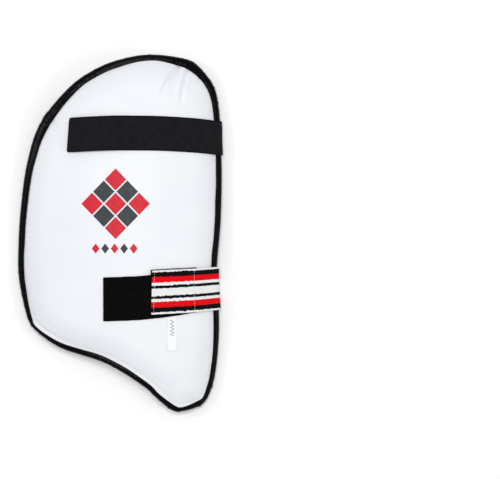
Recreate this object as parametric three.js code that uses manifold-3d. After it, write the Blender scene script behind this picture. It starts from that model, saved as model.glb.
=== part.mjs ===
// A cricket thigh guard, lying on its back as it does on a table: a moulded pad with a white face and
// a cotton back, bound round its edge, with two elastic straps. Each strap is sewn under the binding
// on the guard's left, crosses behind the pad, comes round the right edge and is fastened on the face.
// Millimetres, +Z up. X runs across the guard, +Y towards its top, and the white face looks up.

import * as THREE from "three";
import Module from "manifold-3d";

const wasm = await Module();
wasm.setup();

// Driving dimensions

const gap = 0.3; // between pieces that touch

// The pad wraps the thigh: it bends tightly across and slightly along, about a crest.
const bow = { acrossRadius: 262, alongRadius: 2300, crestX: 3, crestY: 14 };

const pad = {
  edgeHalf: 4, // half the thickness of the squeezed edge inside the binding
  rimRise: 26, // over which the pad swells from its squeezed rim to its full thickness
  face: { rim: 9, thickness: 12, side: 1 },
  back: { rim: 12, thickness: 8, side: -1 },
};

const edgeTape = { wall: 1.3 }; // of the folded edge binding

// The outer edge of the binding, clockwise from the top as seen from the front. face and back are how
// far the binding reaches in over the face and over the cotton back.
const outline = [
  { at: "top", x: 33.6, y: 198.3, face: 7.5, back: 2 },
  { at: "right shoulder", x: 76.6, y: 193.1, face: 11.6, back: 1.9 },
  { at: "right shoulder, pucker", x: 82.9, y: 190, face: 12.2, back: 1.8 },
  { at: "right shoulder turn", x: 92.9, y: 180.7, face: 10.8, back: 1.7 },
  { at: "right shoulder end", x: 105.8, y: 161.2, face: 10.1, back: 1.5 },
  { at: "above the upper strap", x: 111.8, y: 124.6, face: 8.6, back: 1.4 },
  { at: "under the upper strap", x: 112.4, y: 103, face: 8.6, back: 1.4 },
  { at: "right side, upper", x: 113.6, y: 68.7, face: 8.6, back: 1.7 },
  { at: "right side", x: 112.5, y: 14.2, face: 8.8, back: 2.5 },
  { at: "right side, lower", x: 111.2, y: -3.6, face: 8.7, back: 3 },
  { at: "right waist", x: 108.5, y: -38, face: 8.5, back: 4.2 },
  { at: "lobe outer side", x: 110.6, y: -95, face: 8.4, back: 7.5 },
  { at: "lobe outer side, lower", x: 110.2, y: -118.6, face: 7.8, back: 8 },
  { at: "lobe outer turn", x: 107.2, y: -151.5, face: 7.7, back: 8.7 },
  { at: "lobe outer end", x: 102.9, y: -171.9, face: 7.7, back: 9.5 },
  { at: "lobe right corner", x: 95.9, y: -187.3, face: 6.5, back: 9.7 },
  { at: "lobe right corner end", x: 90.7, y: -192.6, face: 7.3, back: 9.6 },
  { at: "lobe tip", x: 69.8, y: -199.2, face: 5.6, back: 8.4 },
  { at: "lobe left corner", x: 60, y: -198.7, face: 6.6, back: 7 },
  { at: "lobe inner side, lower", x: 38.7, y: -181.7, face: 5.8, back: 3.6 },
  { at: "lobe inner side", x: 31.5, y: -174.4, face: 6.1, back: 3 },
  { at: "inner hollow", x: -13, y: -146.1, face: 7.2, back: 3 },
  { at: "inner heel", x: -64.6, y: -128.5, face: 6.5, back: 6.5 },
  { at: "left heel, lower", x: -81.9, y: -118.3, face: 5.7, back: 7.3 },
  { at: "left heel corner", x: -96.1, y: -106.5, face: 5.2, back: 7.3 },
  { at: "left heel end", x: -101, y: -99.1, face: 6.5, back: 7 },
  { at: "left side, lower", x: -112.4, y: -51.1, face: 9.3, back: 3.8 },
  { at: "left side", x: -112.8, y: -10.3, face: 9.8, back: 1.6 },
  { at: "left side, upper", x: -110.1, y: 28.9, face: 10.3, back: 1.4 },
  { at: "below the upper strap", x: -102.8, y: 78.9, face: 11.2, back: 2.9 },
  { at: "left shoulder", x: -88.9, y: 120.9, face: 13.4, back: 5.1 },
  { at: "left shoulder end", x: -52.9, y: 164.3, face: 10.2, back: 4.3 },
  { at: "top, left", x: -28.9, y: 180.7, face: 9.4, back: 3 },
  { at: "top, left of the crest", x: -4, y: 191.3, face: 8.9, back: 2.4 },
];
const wrapX = 112.4; // where the straps come round the right edge
const sewnX = -95; // where they are sewn under the binding

// Where each strap runs, as heights up the guard (y) at its sewn end, where it comes round the right
// edge, and at its free end, which lies freeX across the face and leans to the right by lean. Over the
// face it arches up by arch.
const straps = {
  upper: { width: 38.5, thickness: 1.5, sewnY: 117, wrapY: 105.5, freeX: -55, freeY: 107.8, arch: 2.7 },
  lower: { width: 48.5, thickness: 1.8, sewnY: -76, wrapY: -62, freeX: 36.4, freeY: -66.1, arch: 0 },
};
const lean = { upper: 0.07, lower: 0.02 };

// Hook and loop: a loop patch sewn on the face, and hook tape under the strap's free end. The lower
// tape shows as a fine line above and beyond the strap.
const patches = {
  upper: { left: -52, right: 4, leftY: 108, rightY: 109.5, sag: 0, width: 34, thickness: 1.4 },
  lower: { left: -16.7, right: 88, leftY: -73.7, rightY: -63.7, sag: 2.3, width: 48.5, thickness: 1.4 },
};
const hookTapes = {
  upper: { start: 1.5, length: 46, up: 0, width: 33, thickness: 1.2 },
  lower: { start: -0.9, length: 50, up: 0.9, width: 48.5, thickness: 1.2 },
};

const label = { left: 54.5, right: 63.9, bottom: -130.8, top: -93.4, thickness: 1 };

const outlineSamples = 84;
const edgeRings = [0, 0.9, 2.4, 3.9, 7.4]; // distances in from the panels' own outer edge
const innerRings = [0.11, 0.24, 0.42, 0.7, 0.97]; // shares of the way on to the spine
const seamRings = [0.3, 0.7, 0.97];
const spine = { topX: 6, topY: 92, bottomX: 58, bottomY: -138 };

// The bow of the pad. Everything on it is laid out flat, as across (u), along (v) and height above the
// seam between face and back (w), and then bent.

function bend(u, v, w) {
  const a = (u - bow.crestX) / bow.acrossRadius;
  const lift = (bow.acrossRadius + w) * Math.cos(a) - bow.acrossRadius;
  const b = (v - bow.crestY) / bow.alongRadius;
  return new THREE.Vector3(
    bow.crestX + (bow.acrossRadius + w) * Math.sin(a),
    bow.crestY + (bow.alongRadius + lift) * Math.sin(b),
    (bow.alongRadius + lift) * Math.cos(b) - bow.alongRadius,
  );
}

// The flat place of a point of the seam that is seen at x, y from the front.
function unbend(x, y) {
  const a = Math.asin((x - bow.crestX) / bow.acrossRadius);
  const lift = bow.acrossRadius * (Math.cos(a) - 1);
  const b = Math.asin((y - bow.crestY) / (bow.alongRadius + lift));
  return { u: bow.crestX + bow.acrossRadius * a, v: bow.crestY + bow.alongRadius * b };
}

// The flat place of a point of the face that is seen at x, y.
function layOn(x, y) {
  let { u, v } = unbend(x, y);
  for (let i = 0; i < 6; i++) {
    const p = bend(u, v, faceHeight(u, v));
    u += x - p.x;
    v += y - p.y;
  }
  return { u, v };
}

// The outline laid flat: each sample has its place, the direction inwards and the binding's reaches.
function flatOutline() {
  const flat = outline.map((row) => unbend(row.x, row.y));
  const place = new THREE.CatmullRomCurve3(
    flat.map((p) => new THREE.Vector3(p.u, p.v, 0)),
    true,
  );
  const reach = new THREE.CatmullRomCurve3(
    outline.map((row) => new THREE.Vector3(row.face, row.back, 0)),
    true,
  );
  return Array.from({ length: outlineSamples }, (_, i) => {
    const t = i / outlineSamples;
    const at = place.getPoint(t);
    const along = place.getTangent(t);
    const reaches = reach.getPoint(t);
    return { u: at.x, v: at.y, inU: along.y, inV: -along.x, face: reaches.x, back: reaches.y };
  });
}
const edge = flatOutline();

function edgeDistance(u, v) {
  let nearest = Infinity;
  edge.forEach((p, i) => {
    const q = edge[(i + 1) % edge.length];
    const [du, dv] = [q.u - p.u, q.v - p.v];
    const t = THREE.MathUtils.clamp(
      ((u - p.u) * du + (v - p.v) * dv) / (du * du + dv * dv),
      0,
      1,
    );
    nearest = Math.min(nearest, Math.hypot(u - p.u - t * du, v - p.v - t * dv));
  });
  return nearest;
}

// Where the outline crosses height v: the left and right ends of that line.
function crossing(v) {
  const ends = [];
  edge.forEach((p, i) => {
    const q = edge[(i + 1) % edge.length];
    if (p.v <= v !== q.v <= v) ends.push(p.u + ((v - p.v) / (q.v - p.v)) * (q.u - p.u));
  });
  return { left: Math.min(...ends), right: Math.max(...ends) };
}

// The place at height v that lies distance in from the left edge, square to that edge.
function inFromLeft(v, distance) {
  let u = crossing(v).left + distance;
  for (let i = 0; i < 8; i++) u += distance - edgeDistance(u, v);
  return u;
}

// The pad's half thickness above or below the seam, from the distance in from the outer edge
const edgeInset = edgeTape.wall + gap; // the panels' own edge lies this far inside the binding's
const roundCentre = edgeInset + pad.edgeHalf; // centre of the rounded edge

function halfThickness(distance, { rim, thickness }) {
  const outside = Math.max(0, roundCentre - distance);
  const rounded = Math.sqrt(Math.max(0, pad.edgeHalf ** 2 - outside ** 2));
  const share = THREE.MathUtils.clamp((distance - rim) / pad.rimRise, 0, 1);
  return rounded + (thickness - pad.edgeHalf) * Math.sin((share * Math.PI) / 2);
}

function faceHeight(u, v) {
  return halfThickness(edgeDistance(u, v), pad.face);
}

// Solids from rows of rings

// A closed solid through rings of equal length. A chain of rings is capped at both ends, and a loop of
// rings is joined end to end.
function loft(rings, isLoop = false) {
  const size = rings[0].length;
  const vertices = rings.flat();
  const triangles = [];
  const spans = isLoop ? rings.length : rings.length - 1;
  for (let r = 0; r < spans; r++) {
    for (let i = 0; i < size; i++) {
      const [here, next] = [r * size, ((r + 1) % rings.length) * size];
      const j = (i + 1) % size;
      triangles.push([here + i, here + j, next + j], [here + i, next + j, next + i]);
    }
  }
  if (!isLoop) {
    const last = (rings.length - 1) * size;
    triangles.push(...zip(rings[0]).map(([a, b, c]) => [a, c, b]));
    triangles.push(...zip(rings.at(-1)).map((t) => t.map((i) => i + last)));
  }
  return solidFrom(vertices, triangles);
}

// Closes a ring with strips from side to side, working down from its highest y
function zip(ring) {
  const size = ring.length;
  let b = ring.reduce((best, p, i) => (p.y > ring[best].y ? i : best), 0);
  let a = (b + 1) % size;
  return Array.from({ length: size - 2 }, () => {
    const [nextA, nextB] = [(a + 1) % size, (b + size - 1) % size];
    const onA = ring[nextA].y > ring[nextB].y;
    const triangle = onA ? [a, nextA, b] : [a, nextB, b];
    if (onA) a = nextA;
    else b = nextB;
    return triangle;
  });
}

function solidFrom(vertices, triangles) {
  const volume = triangles.reduce((sum, [a, b, c]) => {
    return sum + vertices[a].dot(vertices[b].clone().cross(vertices[c]));
  }, 0);
  const facing = volume > 0 ? triangles : triangles.map(([a, b, c]) => [a, c, b]);
  return new wasm.Manifold(
    new wasm.Mesh({
      numProp: 3,
      vertProperties: Float32Array.from(vertices.flatMap((p) => p.toArray())),
      triVerts: Uint32Array.from(facing.flat()),
    }),
  );
}

// The pad's two panels

// Flat rings from the panel's edge inwards: first square to the edge, then towards the spine
function panelRings(shares) {
  const outer = edgeRings.map((inset) =>
    edge.map((p) => {
      const distance = edgeInset + inset + 0.1;
      return { u: p.u + p.inU * distance, v: p.v + p.inV * distance, distance };
    }),
  );
  const top = unbend(spine.topX, spine.topY);
  const bottom = unbend(spine.bottomX, spine.bottomY);
  const [du, dv] = [bottom.u - top.u, bottom.v - top.v];
  const inner = shares.map((share) =>
    outer.at(-1).map((p) => {
      const t = ((p.u - top.u) * du + (p.v - top.v) * dv) / (du * du + dv * dv);
      const along = THREE.MathUtils.clamp(t, 0, 1);
      const u = THREE.MathUtils.lerp(p.u, top.u + along * du, share);
      const v = THREE.MathUtils.lerp(p.v, top.v + along * dv, share);
      return { u, v, distance: edgeDistance(u, v) };
    }),
  );
  return { outer, inner };
}

function panel(layer) {
  const skin = panelRings(innerRings);
  const seam = panelRings(seamRings);
  const skinRings = [...skin.outer, ...skin.inner].map((ring) =>
    ring.map((p) => bend(p.u, p.v, layer.side * halfThickness(p.distance, layer))),
  );
  const seamSide = [seam.outer[0], ...seam.inner].map((ring) =>
    ring.map((p) => bend(p.u, p.v, (layer.side * gap) / 2)),
  );
  return loft([...skinRings.reverse(), ...seamSide]);
}

// The edge binding: tape folded over the pad's edge. Past the rounded edge it follows the pad's swell.

function bindingRing(p) {
  const inner = pad.edgeHalf + gap;
  const outer = inner + edgeTape.wall;
  const turn = (reach) => Math.acos(THREE.MathUtils.clamp((outer - reach) / outer, 0, 1));
  const [faceTurn, backTurn] = [turn(p.face), turn(p.back)];
  const at = (radius, share, beyond = 0) => {
    const angle = THREE.MathUtils.lerp(faceTurn, -backTurn, share);
    const inward = roundCentre - radius * Math.cos(angle) + beyond;
    const layer = angle > 0 ? pad.face : pad.back;
    const swell = beyond ? halfThickness(inward, layer) - pad.edgeHalf : 0;
    const height = radius * Math.sin(angle) + layer.side * swell;
    return bend(p.u + p.inU * inward, p.v + p.inV * inward, height);
  };
  const faceBeyond = Math.max(0, p.face - outer);
  const backBeyond = Math.max(0, p.back - outer);
  const shares = (steps) => Array.from({ length: steps + 1 }, (_, i) => i / steps);
  return [
    at(outer, 0, faceBeyond + 0.01),
    ...shares(7).map((share) => at(outer, share)),
    at(outer, 1, backBeyond + 0.01),
    at(inner, 1, backBeyond + 0.01),
    ...shares(6)
      .reverse()
      .map((share) => at(inner, share)),
    at(inner, 0, faceBeyond + 0.01),
  ];
}

function binding() {
  return loft(edge.map(bindingRing), true);
}

// Flat pieces that lie on the face

// A thin piece along the face from its left end to its right end, over whatever lies under it
function onFace({ left, right, leftY, rightY, sag, width, thickness }, under = 0) {
  const columns = Math.ceil((right - left) / 7);
  const ring = (i) => {
    const t = i / columns;
    const y = THREE.MathUtils.lerp(leftY, rightY, t) - sag * Math.sin(t * Math.PI);
    const { u, v } = layOn(THREE.MathUtils.lerp(left, right, t), y);
    const side = (dv, above) => bend(u, v + dv, faceHeight(u, v + dv) + gap + under + above);
    const rows = [-0.5, -0.25, 0, 0.25, 0.5].map((share) => share * width);
    return [
      ...rows.map((dv) => side(dv, 0)),
      ...rows.reverse().map((dv) => side(dv, thickness)),
    ];
  };
  return loft(Array.from({ length: columns + 1 }, (_, i) => ring(i)));
}

// Hook tape under a strap's free end, on the patch
function hookPiece(strap, patch, tape) {
  const slope = (strap.wrapY - strap.freeY) / (wrapX - strap.freeX);
  const left = strap.freeX + tape.start;
  const leftY = strap.freeY + tape.up;
  const piece = { ...tape, left, right: left + tape.length, leftY, sag: 0 };
  return onFace({ ...piece, rightY: leftY + slope * tape.length }, patch.thickness + gap);
}

// Straps

const faceSteps = 24;
const wrapSteps = 9;
const turnSteps = 6; // where it bends down to the table, and up from it

// A tight band's way over points given in order round a convex form, clockwise in x and z
function tautOver(points) {
  const kept = [];
  for (const p of points) {
    while (kept.length > 1) {
      const [a, b] = kept.slice(-2);
      if ((b.x - a.x) * (p.z - b.z) - (b.z - a.z) * (p.x - b.x) < 0) break;
      kept.pop();
    }
    kept.push(p);
  }
  return kept;
}

// Points at equal steps along a line of points, closer together where the line turns: a turn of one
// radian counts as perTurn of length
function evenly(points, steps, perTurn) {
  const heading = (i) =>
    Math.atan2(points[i].z - points[i - 1].z, points[i].x - points[i - 1].x);
  const lengths = points.map((p, i) => {
    if (i === 0) return 0;
    const turn = i > 1 ? Math.abs(heading(i) - heading(i - 1)) : 0;
    return p.distanceTo(points[i - 1]) + perTurn * turn;
  });
  const total = lengths.reduce((sum, l) => sum + l, 0);
  return Array.from({ length: steps + 1 }, (_, n) => {
    let rest = (total * n) / steps;
    let i = 1;
    while (i < points.length - 1 && rest > lengths[i]) rest -= lengths[i++];
    return points[i - 1].clone().lerp(points[i], Math.min(1, rest / lengths[i]));
  });
}

// A line along the middle of a strap's thickness, from its free end to its sewn end. across is how far
// up the strap's width the line lies.
function strapLine(key, across, endInset) {
  const [strap, patch, tape] = [straps[key], patches[key], hookTapes[key]];
  const lift = gap + strap.thickness / 2;
  const free = layOn(strap.freeX, strap.freeY);
  const wrapV = unbend(wrapX, strap.wrapY).v + across;
  const wrapU = crossing(wrapV).right;
  const tapeEnd = layOn(strap.freeX + tape.start + tape.length + 1.5, strap.freeY).u;
  const patchEnd = layOn(patch.right + 1.5, patch.rightY).u;
  const pile = (u) =>
    (u < tapeEnd ? tape.thickness + gap : 0) + (u < patchEnd ? patch.thickness + gap : 0);
  const facePoints = Array.from({ length: 64 }, (_, i) => {
    const u = THREE.MathUtils.lerp(free.u + lean[key] * across, wrapU - pad.face.rim, i / 63);
    const v = THREE.MathUtils.lerp(free.v + across, wrapV, i / 63);
    const arch = strap.arch * Math.sin((i / 63) * Math.PI);
    return bend(u, v + arch, faceHeight(u, v + arch) + pile(u));
  });
  const round = pad.edgeHalf + gap + edgeTape.wall;
  const centre = bend(wrapU - roundCentre, wrapV, 0);
  const roundPoints = Array.from({ length: 41 }, (_, i) => {
    const angle = THREE.MathUtils.degToRad(110 - 5 * i);
    const [x, z] = [centre.x + round * Math.cos(angle), centre.z + round * Math.sin(angle)];
    return new THREE.Vector3(x, centre.y, z);
  });
  const beforeRound = facePoints.filter((p) => p.x < roundPoints[0].x);
  const taut = tautOver([...beforeRound, ...roundPoints]);
  const first = taut.findIndex((p) => roundPoints.includes(p));
  const overFace = offset(evenly(taut.slice(0, first + 1), faceSteps, 70), lift);
  const touch = Math.atan2(taut[first].z - centre.z, taut[first].x - centre.x);
  const overEdge = Array.from({ length: wrapSteps + 1 }, (_, i) => {
    const angle = THREE.MathUtils.lerp(touch, -Math.PI / 2, i / wrapSteps);
    return new THREE.Vector3(
      centre.x + (round + lift) * Math.cos(angle),
      centre.y,
      centre.z + (round + lift) * Math.sin(angle),
    );
  });
  return [...overFace.slice(0, -1), ...overEdge, ...behind(strap, across, overEdge.at(-1), endInset)];
}

// Moves a line of points out to its left, as seen going along it in x and z
function offset(points, distance) {
  return points.map((p, i) => {
    const before = points[Math.max(0, i - 1)];
    const after = points[Math.min(points.length - 1, i + 1)];
    const along = Math.hypot(after.x - before.x, after.z - before.z);
    const out = new THREE.Vector3(before.z - after.z, 0, after.x - before.x);
    return p.clone().addScaledVector(out, distance / along);
  });
}

// Behind the pad: down to the table, along it, and up under the binding on the left
const settle = { fromWrap: 26, toBinding: 34, mouthInset: 10, endInset: 4 };

function behind(strap, across, start, endInset) {
  const v = unbend(sewnX, strap.sewnY).v + across;
  const half = strap.thickness / 2;
  const depth = half + gap - pad.edgeHalf;
  const end = bend(inFromLeft(v, endInset), v, depth);
  const mouth = bend(inFromLeft(v, settle.mouthInset), v, depth);
  const floor = tableZ + half;
  const down = new THREE.CubicBezierCurve3(
    start,
    start.clone().add(new THREE.Vector3(-settle.fromWrap / 2, 0, 0)),
    new THREE.Vector3(start.x - settle.fromWrap / 2, start.y, floor),
    new THREE.Vector3(start.x - settle.fromWrap, start.y, floor),
  );
  const landing = new THREE.Vector3(mouth.x + settle.toBinding, mouth.y, floor);
  const up = new THREE.QuadraticBezierCurve3(
    landing,
    new THREE.Vector3(mouth.x + settle.toBinding / 2, mouth.y, floor),
    mouth,
  );
  const line = [
    ...down.getPoints(turnSteps).slice(1),
    down.v3.clone().lerp(landing, 0.5),
    landing,
    ...up.getPoints(turnSteps).slice(1),
  ];
  line.forEach((p) => {
    p.y = THREE.MathUtils.lerp(start.y, mouth.y, (start.x - p.x) / (start.x - mouth.x));
  });
  return [...line, end];
}

// A strap's solid, grown on every side by extra where it is used to cut its own room
function strapSolid(key, extra = 0) {
  const wide = straps[key].width + 2 * extra;
  const rows = [-0.5, -0.33, -0.17, 0, 0.17, 0.33, 0.5];
  const lines = rows.map((row) => strapLine(key, row * wide, settle.endInset - extra));
  const half = straps[key].thickness / 2 + extra;
  const outer = lines.map((line) => offset(line, half));
  const inner = lines.map((line) => offset(line, -half)).reverse();
  return loft(lines[0].map((_, i) => [...outer, ...inner].map((line) => line[i])));
}

// The table that the guard lies on: under the binding, and under the straps where they come round it
function findTable(bindingSolid) {
  const under = Object.values(straps).flatMap((strap) =>
    [-0.5, 0.5].map((side) => {
      const v = unbend(wrapX, strap.wrapY).v + side * strap.width;
      const centre = bend(crossing(v).right - roundCentre, v, 0);
      return centre.z - (pad.edgeHalf + gap + edgeTape.wall) - gap - strap.thickness;
    }),
  );
  return Math.min(bindingSolid.boundingBox().min[2], ...under);
}

// Assembly

const looks = {
  whiteFace: { color: 0xeef0f4, roughness: 0.42, metalness: 0 },
  cotton: { color: 0xe9e7e0, roughness: 0.95, metalness: 0 },
  blackTrim: { color: 0x15151a, roughness: 0.35, metalness: 0 },
  blackElastic: { color: 0x1a1a1d, roughness: 0.9, metalness: 0 },
  stripedElastic: { color: 0xd9141f, roughness: 0.85, metalness: 0 },
  blackLoop: { color: 0x08080a, roughness: 1, metalness: 0 },
  whiteLabel: { color: 0xf6f6f6, roughness: 0.7, metalness: 0 },
};

const guard = new THREE.Group();

function add(name, solid, look) {
  const mesh = solid.getMesh();
  const geometry = new THREE.BufferGeometry();
  geometry.setAttribute("position", new THREE.BufferAttribute(mesh.vertProperties, mesh.numProp));
  geometry.setIndex(new THREE.BufferAttribute(mesh.triVerts, 1));
  geometry.computeVertexNormals();
  const piece = new THREE.Mesh(geometry, new THREE.MeshStandardMaterial(look));
  piece.name = name;
  guard.add(piece);
}

const bindingSolid = binding();
const tableZ = findTable(bindingSolid);
const backPanel = ["upper", "lower"].reduce(
  (solid, key) => solid.subtract(strapSolid(key, gap)),
  panel(pad.back),
);
const labelY = (label.top + label.bottom) / 2;
const labelPiece = { ...label, leftY: labelY, rightY: labelY, sag: 0, width: label.top - label.bottom };

add("front_panel", panel(pad.face), looks.whiteFace);
add("back_panel", backPanel, looks.cotton);
add("edge_binding", bindingSolid, looks.blackTrim);
add("upper_strap", strapSolid("upper"), looks.blackElastic);
add("lower_strap", strapSolid("lower"), looks.stripedElastic);
add("upper_loop_patch", onFace(patches.upper), looks.blackLoop);
add("lower_loop_patch", onFace(patches.lower), looks.blackLoop);
add("upper_hook_tape", hookPiece(straps.upper, patches.upper, hookTapes.upper), looks.blackLoop);
add("lower_hook_tape", hookPiece(straps.lower, patches.lower, hookTapes.lower), looks.blackLoop);
add("size_label", onFace(labelPiece), looks.whiteLabel);

const bounds = new THREE.Box3().setFromObject(guard);
const middle = bounds.getCenter(new THREE.Vector3());
guard.position.set(-middle.x, -middle.y, -bounds.min.z);

export default guard;
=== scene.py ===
# A cricket thigh guard lying on its back: a moulded pad with a white face and a cotton back, bound round
# its edge, and two elastic straps that pass behind it, come round its right edge and fasten on the face.
import math

import bpy
import mathutils
import numpy as np
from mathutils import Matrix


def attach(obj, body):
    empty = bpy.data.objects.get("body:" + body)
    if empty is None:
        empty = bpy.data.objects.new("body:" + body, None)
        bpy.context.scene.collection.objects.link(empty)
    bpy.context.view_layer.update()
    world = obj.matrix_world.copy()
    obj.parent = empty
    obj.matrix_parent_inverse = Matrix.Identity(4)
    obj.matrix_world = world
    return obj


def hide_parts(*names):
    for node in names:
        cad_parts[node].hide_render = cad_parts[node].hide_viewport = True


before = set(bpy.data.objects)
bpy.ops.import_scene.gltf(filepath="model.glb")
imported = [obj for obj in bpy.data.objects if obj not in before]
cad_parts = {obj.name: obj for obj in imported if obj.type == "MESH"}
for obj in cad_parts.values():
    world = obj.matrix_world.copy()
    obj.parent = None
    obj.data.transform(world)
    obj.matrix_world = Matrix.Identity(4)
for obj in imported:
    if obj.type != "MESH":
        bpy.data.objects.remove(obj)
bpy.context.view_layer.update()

mm = 0.001  # millimetres to metres

# The guard's form, as in the solids: laid out flat in millimetres (u across, v along, w above the seam
# between face and back), and then bent round the thigh.
form = {
    "acrossRadius": 262, "alongRadius": 2300, "crestX": 3, "crestY": 14,
    "shift": (-0.718, 0.657, 31.448),
    "edgeHalf": 4, "tapeWall": 1.3, "gap": 0.3, "rimRise": 26,
    "face": {"rim": 9, "thick": 12}, "back": {"rim": 12, "thick": 8},
}
edgeInset = form["tapeWall"] + form["gap"]
roundCentre = edgeInset + form["edgeHalf"]
tapeRound = form["edgeHalf"] + edgeInset

# Outer edge of the binding, clockwise from the top: x, y, and its reach in over the face and over the back
outlineRows = [
    (33.6, 198.3, 7.5, 2), (76.6, 193.1, 11.6, 1.9), (82.9, 190, 12.2, 1.8), (92.9, 180.7, 10.8, 1.7),
    (105.8, 161.2, 10.1, 1.5), (111.8, 124.6, 8.6, 1.4), (112.4, 103, 8.6, 1.4), (113.6, 68.7, 8.6, 1.7),
    (112.5, 14.2, 8.8, 2.5), (111.2, -3.6, 8.7, 3), (108.5, -38, 8.5, 4.2), (110.6, -95, 8.4, 7.5),
    (110.2, -118.6, 7.8, 8), (107.2, -151.5, 7.7, 8.7), (102.9, -171.9, 7.7, 9.5), (95.9, -187.3, 6.5, 9.7),
    (90.7, -192.6, 7.3, 9.6), (69.8, -199.2, 5.6, 8.4), (60, -198.7, 6.6, 7), (38.7, -181.7, 5.8, 3.6),
    (31.5, -174.4, 6.1, 3), (-13, -146.1, 7.2, 3), (-64.6, -128.5, 6.5, 6.5), (-81.9, -118.3, 5.7, 7.3),
    (-96.1, -106.5, 5.2, 7.3), (-101, -99.1, 6.5, 7), (-112.4, -51.1, 9.3, 3.8), (-112.8, -10.3, 9.8, 1.6),
    (-110.1, 28.9, 10.3, 1.4), (-102.8, 78.9, 11.2, 2.9), (-88.9, 120.9, 13.4, 5.1),
    (-52.9, 164.3, 10.2, 4.3), (-28.9, 180.7, 9.4, 3), (-4, 191.3, 8.9, 2.4),
]
wrapX, sewnX = 112.4, -95  # where the straps come round the right edge, and where they are sewn in
# The straps' webbing: its height where it is sewn in and where it wraps the edge, its width and thickness
webbing = {
    "upper": {"sewnY": 117, "wrapY": 105.5, "width": 38.5, "thick": 1.5},
    "lower": {"sewnY": -76, "wrapY": -62, "width": 48.5, "thick": 1.8},
}
rowSteps = 48  # samples from one row of the outline to the next
evenPlaces = 352  # places at even lengths round the edge, for the pads' rings


def bend(u, v, w):
    a = (np.asarray(u, float) - form["crestX"]) / form["acrossRadius"]
    lift = (form["acrossRadius"] + w) * np.cos(a) - form["acrossRadius"]
    b = (v - form["crestY"]) / form["alongRadius"]
    x = form["crestX"] + (form["acrossRadius"] + w) * np.sin(a)
    y = form["crestY"] + (form["alongRadius"] + lift) * np.sin(b)
    z = (form["alongRadius"] + lift) * np.cos(b) - form["alongRadius"]
    return np.stack(np.broadcast_arrays(x, y, z), -1) + form["shift"]


def unbend(x, y):
    a = np.arcsin((np.asarray(x, float) - form["crestX"]) / form["acrossRadius"])
    lift = form["acrossRadius"] * (np.cos(a) - 1)
    b = np.arcsin((y - form["crestY"]) / (form["alongRadius"] + lift))
    return form["crestX"] + form["acrossRadius"] * a, form["crestY"] + form["alongRadius"] * b


def closedSpline(points, steps):  # centripetal, through every point
    p1 = np.asarray(points, float)
    p0, p2, p3 = np.roll(p1, 1, 0), np.roll(p1, -1, 0), np.roll(p1, -2, 0)
    d0, d1, d2 = (np.sum((b - a) ** 2, 1, keepdims=True) ** 0.25 for a, b in ((p0, p1), (p1, p2), (p2, p3)))
    d1 = np.where(d1 < 1e-4, 1, d1)
    d0, d2 = (np.where(d < 1e-4, d1, d) for d in (d0, d2))
    t1 = ((p1 - p0) / d0 - (p2 - p0) / (d0 + d1) + (p2 - p1) / d1) * d1
    t2 = ((p2 - p1) / d1 - (p3 - p1) / (d1 + d2) + (p3 - p2) / d2) * d1
    t = (np.arange(steps) / steps)[None, :, None]
    p1, p2, t1, t2 = (q[:, None] for q in (p1, p2, t1, t2))
    curve = p1 + t1 * t + (3 * (p2 - p1) - 2 * t1 - t2) * t ** 2 + (2 * (p1 - p2) + t1 + t2) * t ** 3
    return curve.reshape(-1, p1.shape[-1])


rows = np.array(outlineRows, float)
edge = closedSpline(np.stack(unbend(rows[:, 0], rows[:, 1]), 1), rowSteps)
reach = closedSpline(rows[:, 2:], rowSteps)
heading = np.roll(edge, -1, 0) - np.roll(edge, 1, 0)
heading /= np.linalg.norm(heading, axis=1, keepdims=True)
inward = np.stack((heading[:, 1], -heading[:, 0]), 1)
stepLength = np.linalg.norm(np.roll(edge, -1, 0) - edge, axis=1)
edgeLength = np.concatenate(([0], np.cumsum(stepLength)))
perimeter = edgeLength[-1]


def alongEdge(s, values):  # a value of the outline's samples, at the length s round the edge
    closed = np.concatenate((values, values[:1]))
    return np.stack([np.interp(s % perimeter, edgeLength, column) for column in closed.T], -1)


evenLength = np.linspace(0, perimeter, evenPlaces, endpoint=False)
coarseEdge = alongEdge(evenLength, edge)
print("outline:", round(perimeter), "mm round")


def nearestOnEdge(u, v):  # distance in from the edge, and the length round it of the nearest place
    shape = np.broadcast(u, v).shape
    u, v = (np.broadcast_to(np.asarray(q, float), shape).ravel() for q in (u, v))
    far = np.roll(coarseEdge, -1, 0) - coarseEdge
    square = np.sum(far ** 2, 1)
    distance, place = np.empty(len(u)), np.empty(len(u))
    for i in range(0, len(u), 4000):
        du, dv = u[i:i + 4000, None] - coarseEdge[:, 0], v[i:i + 4000, None] - coarseEdge[:, 1]
        t = np.clip((du * far[:, 0] + dv * far[:, 1]) / square, 0, 1)
        apart = np.hypot(du - t * far[:, 0], dv - t * far[:, 1])
        best = apart.argmin(1)
        lines = np.arange(len(best))
        distance[i:i + 4000] = apart[lines, best]
        place[i:i + 4000] = evenLength[best] + t[lines, best] * np.sqrt(square[best])
    return distance.reshape(shape), place.reshape(shape)


def smoothStep(x, low, high):
    t = np.clip((np.asarray(x, float) - low) / (high - low), 0, 1)
    return t * t * (3 - 2 * t)


def halfThickness(distance, layer):
    outside = np.maximum(0, roundCentre - distance)
    rounded = np.sqrt(np.maximum(0, form["edgeHalf"] ** 2 - outside ** 2))
    share = np.clip((distance - layer["rim"]) / form["rimRise"], 0, 1)
    return rounded + (layer["thick"] - form["edgeHalf"]) * np.sin(share * math.pi / 2)


def faceHeight(u, v):
    return halfThickness(nearestOnEdge(u, v)[0], form["face"])


def layOn(x, y):  # the flat place of a point of the face that is seen at x, y
    u, v = unbend(x, y)
    for _ in range(6):  # each round comes closer
        seen = bend(u, v, faceHeight(u, v)) - form["shift"]
        u, v = u + x - seen[..., 0], v + y - seen[..., 1]
    return u, v


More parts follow.
